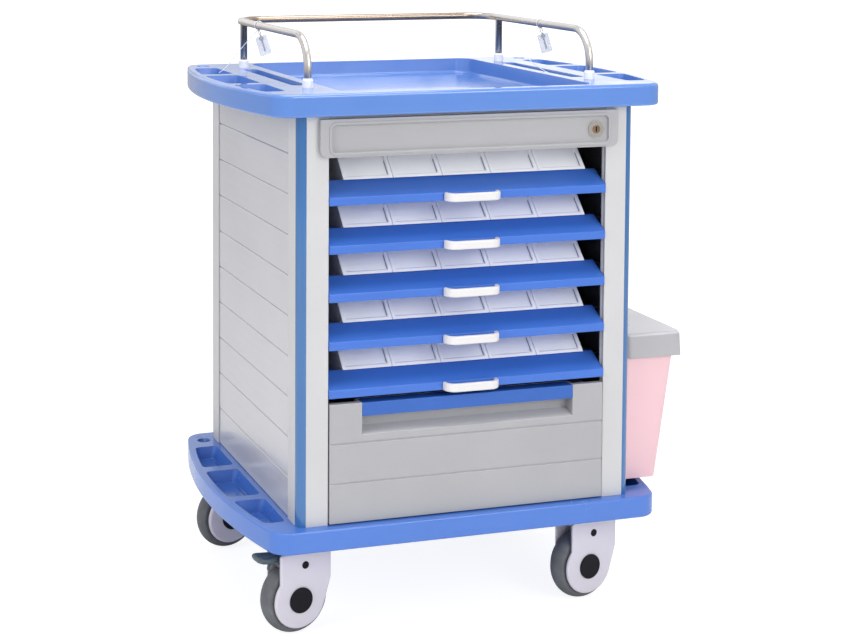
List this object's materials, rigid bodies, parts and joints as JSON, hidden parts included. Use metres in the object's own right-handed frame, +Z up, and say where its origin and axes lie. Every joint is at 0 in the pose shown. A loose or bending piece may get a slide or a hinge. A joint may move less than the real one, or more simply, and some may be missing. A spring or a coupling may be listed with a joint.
{
  "type": "instrument cart",
  "caption": "Instrument cart on swivel casters with a recessed top, guard rail, lockable drawer, pull-out bin shelves, deep drawer and side waste bin.",
  "frame": {"origin": "on the floor, midway between the four swivel axes, which is under the middle of the body", "axes": "+X to the cart's right seen from the front, -Y is the front that the drawers open towards, +Z up"},
  "size_m": [0.7839, 0.565, 0.9772],
  "materials": {
    "tray_blue": "glossy moulded ABS, mid blue",
    "shelf_blue": "moulded ABS, deeper blue, satin gloss",
    "post_white": "powder-coated aluminium extrusion, white, satin",
    "strip_blue": "steel-blue plastic strip, glossy",
    "slat_grey": "light lilac-grey plastic slats, satin",
    "drawer_grey": "grey moulded plastic, satin",
    "box_grey": "light grey plastic drawer box",
    "white_plastic": "white plastic, smooth",
    "bin_white": "white plastic bins, satin",
    "stainless": "polished stainless tube",
    "zinc_steel": "zinc-coated steel",
    "frame_aluminium": "slotted aluminium liner",
    "runner_black": "black coated steel runner",
    "chrome": "chromed lock",
    "brass_key": "brass lock plug",
    "pink_plastic": "pale pink plastic bin",
    "lid_grey": "light grey plastic lid",
    "caster_cover": "white-lilac plastic fork cover",
    "tyre_grey": "dark grey rubber tyre",
    "cap_black": "near-black plastic",
    "swivel_steel": "dark grey steel swivel",
    "tag_clear": "clear plastic key tag"
  },
  "bodies": {
    "cabinet": {"base_tray": "tray_blue", "top_tray": "tray_blue", "guard_rail": "stainless", "rail_ferrules": "white_plastic", "corner_posts": "post_white", "corner_strips": "strip_blue", "side_slats": "slat_grey", "back_slats": "slat_grey", "inner_frame": "frame_aluminium", "shelf_runners": "runner_black", "frame_screws": "zinc_steel", "bottom_slides_fixed": "zinc_steel", "waste_bin_bracket": "zinc_steel", "caster_mounts": "swivel_steel", "key_tags": "tag_clear"},
    "top_drawer": {"top_drawer_front": "drawer_grey", "top_drawer_box": "box_grey", "lock_barrel": "chrome"},
    "lock": {"lock_plug": "brass_key", "lock_cam": "zinc_steel"},
    "shelf_1": {"shelf_1": "shelf_blue", "handle_1": "white_plastic", "bins_1": "bin_white"},
    "shelf_2": {"shelf_2": "shelf_blue", "handle_2": "white_plastic", "bins_2": "bin_white"},
    "shelf_3": {"shelf_3": "shelf_blue", "handle_3": "white_plastic", "bins_3": "bin_white"},
    "shelf_4": {"shelf_4": "shelf_blue", "handle_4": "white_plastic", "bins_4": "bin_white"},
    "shelf_5": {"shelf_5": "shelf_blue", "handle_5": "white_plastic", "bins_5": "bin_white"},
    "bottom_drawer": {"bottom_drawer_front": "drawer_grey", "bottom_drawer_grip": "shelf_blue", "bottom_drawer_box": "box_grey", "bottom_slides_inner": "zinc_steel"},
    "waste_bin": {"waste_bin": "pink_plastic", "waste_bin_pin": "zinc_steel"},
    "waste_bin_lid": {"waste_bin_lid": "lid_grey"},
    "caster_fl": {"fork_fl": "caster_cover", "axle_fl": "cap_black"},
    "caster_fr": {"fork_fr": "caster_cover", "axle_fr": "cap_black"},
    "caster_rl": {"fork_rl": "caster_cover", "axle_rl": "cap_black"},
    "caster_rr": {"fork_rr": "caster_cover", "axle_rr": "cap_black"},
    "wheel_fl": {"tyre_fl": "tyre_grey", "hub_fl": "swivel_steel"},
    "wheel_fr": {"tyre_fr": "tyre_grey", "hub_fr": "swivel_steel"},
    "wheel_rl": {"tyre_rl": "tyre_grey", "hub_rl": "swivel_steel"},
    "wheel_rr": {"tyre_rr": "tyre_grey", "hub_rr": "swivel_steel"},
    "brake_fl": {"brake_pedal_fl": "cap_black"},
    "brake_rr": {"brake_pedal_rr": "cap_black"}
  },
  "joints": [
    {"name": "top_drawer_slide", "type": "slide", "parent": "cabinet", "child": "top_drawer", "axis": [0, -1, 0], "range_m": [0, 0.3]},
    {"name": "lock_turn", "type": "hinge", "parent": "top_drawer", "child": "lock", "pos_m": [0.22, -0.262, 0.8115], "axis": [0, 1, 0], "range_deg": [0, 90]},
    {"name": "shelf_1_slide", "type": "slide", "parent": "cabinet", "child": "shelf_1", "axis": [0, -1, 0], "range_m": [0, 0.3]},
    {"name": "shelf_2_slide", "type": "slide", "parent": "cabinet", "child": "shelf_2", "axis": [0, -1, 0], "range_m": [0, 0.3]},
    {"name": "shelf_3_slide", "type": "slide", "parent": "cabinet", "child": "shelf_3", "axis": [0, -1, 0], "range_m": [0, 0.3]},
    {"name": "shelf_4_slide", "type": "slide", "parent": "cabinet", "child": "shelf_4", "axis": [0, -1, 0], "range_m": [0, 0.3]},
    {"name": "shelf_5_slide", "type": "slide", "parent": "cabinet", "child": "shelf_5", "axis": [0, -1, 0], "range_m": [0, 0.3]},
    {"name": "bottom_drawer_slide", "type": "slide", "parent": "cabinet", "child": "bottom_drawer", "axis": [0, -1, 0], "range_m": [0, 0.3]},
    {"name": "waste_bin_lift", "type": "slide", "parent": "cabinet", "child": "waste_bin", "axis": [0, 0, 1], "range_m": [0, 0.03]},
    {"name": "waste_lid_hinge", "type": "hinge", "parent": "waste_bin", "child": "waste_bin_lid", "pos_m": [0.302, -0.109, 0.4475], "axis": [0, -1, 0], "range_deg": [0, 80]},
    {"name": "swivel_fl", "type": "hinge", "parent": "cabinet", "child": "caster_fl", "pos_m": [-0.258, -0.201, 0.1505], "axis": [0, 0, 1], "continuous": true},
    {"name": "swivel_fr", "type": "hinge", "parent": "cabinet", "child": "caster_fr", "pos_m": [0.258, -0.201, 0.1505], "axis": [0, 0, 1], "continuous": true},
    {"name": "swivel_rl", "type": "hinge", "parent": "cabinet", "child": "caster_rl", "pos_m": [-0.258, 0.201, 0.1505], "axis": [0, 0, 1], "continuous": true},
    {"name": "swivel_rr", "type": "hinge", "parent": "cabinet", "child": "caster_rr", "pos_m": [0.258, 0.201, 0.1505], "axis": [0, 0, 1], "continuous": true},
    {"name": "spin_fl", "type": "hinge", "parent": "caster_fl", "child": "wheel_fl", "pos_m": [-0.28333, -0.20685, 0.059], "axis": [-0.225, 0.9744, 0], "continuous": true},
    {"name": "spin_fr", "type": "hinge", "parent": "caster_fr", "child": "wheel_fr", "pos_m": [0.23267, -0.20685, 0.059], "axis": [-0.225, 0.9744, 0], "continuous": true},
    {"name": "spin_rl", "type": "hinge", "parent": "caster_rl", "child": "wheel_rl", "pos_m": [-0.28333, 0.19515, 0.059], "axis": [-0.225, 0.9744, 0], "continuous": true},
    {"name": "spin_rr", "type": "hinge", "parent": "caster_rr", "child": "wheel_rr", "pos_m": [0.23267, 0.19515, 0.059], "axis": [-0.225, 0.9744, 0], "continuous": true},
    {"name": "brake_fl_press", "type": "hinge", "parent": "caster_fl", "child": "brake_fl", "pos_m": [-0.31256, -0.2136, 0.128], "axis": [0.225, -0.9744, 0], "range_deg": [0, 18]},
    {"name": "brake_rr_press", "type": "hinge", "parent": "caster_rr", "child": "brake_rr", "pos_m": [0.20344, 0.1884, 0.128], "axis": [0.225, -0.9744, 0], "range_deg": [0, 18]}
  ]
}
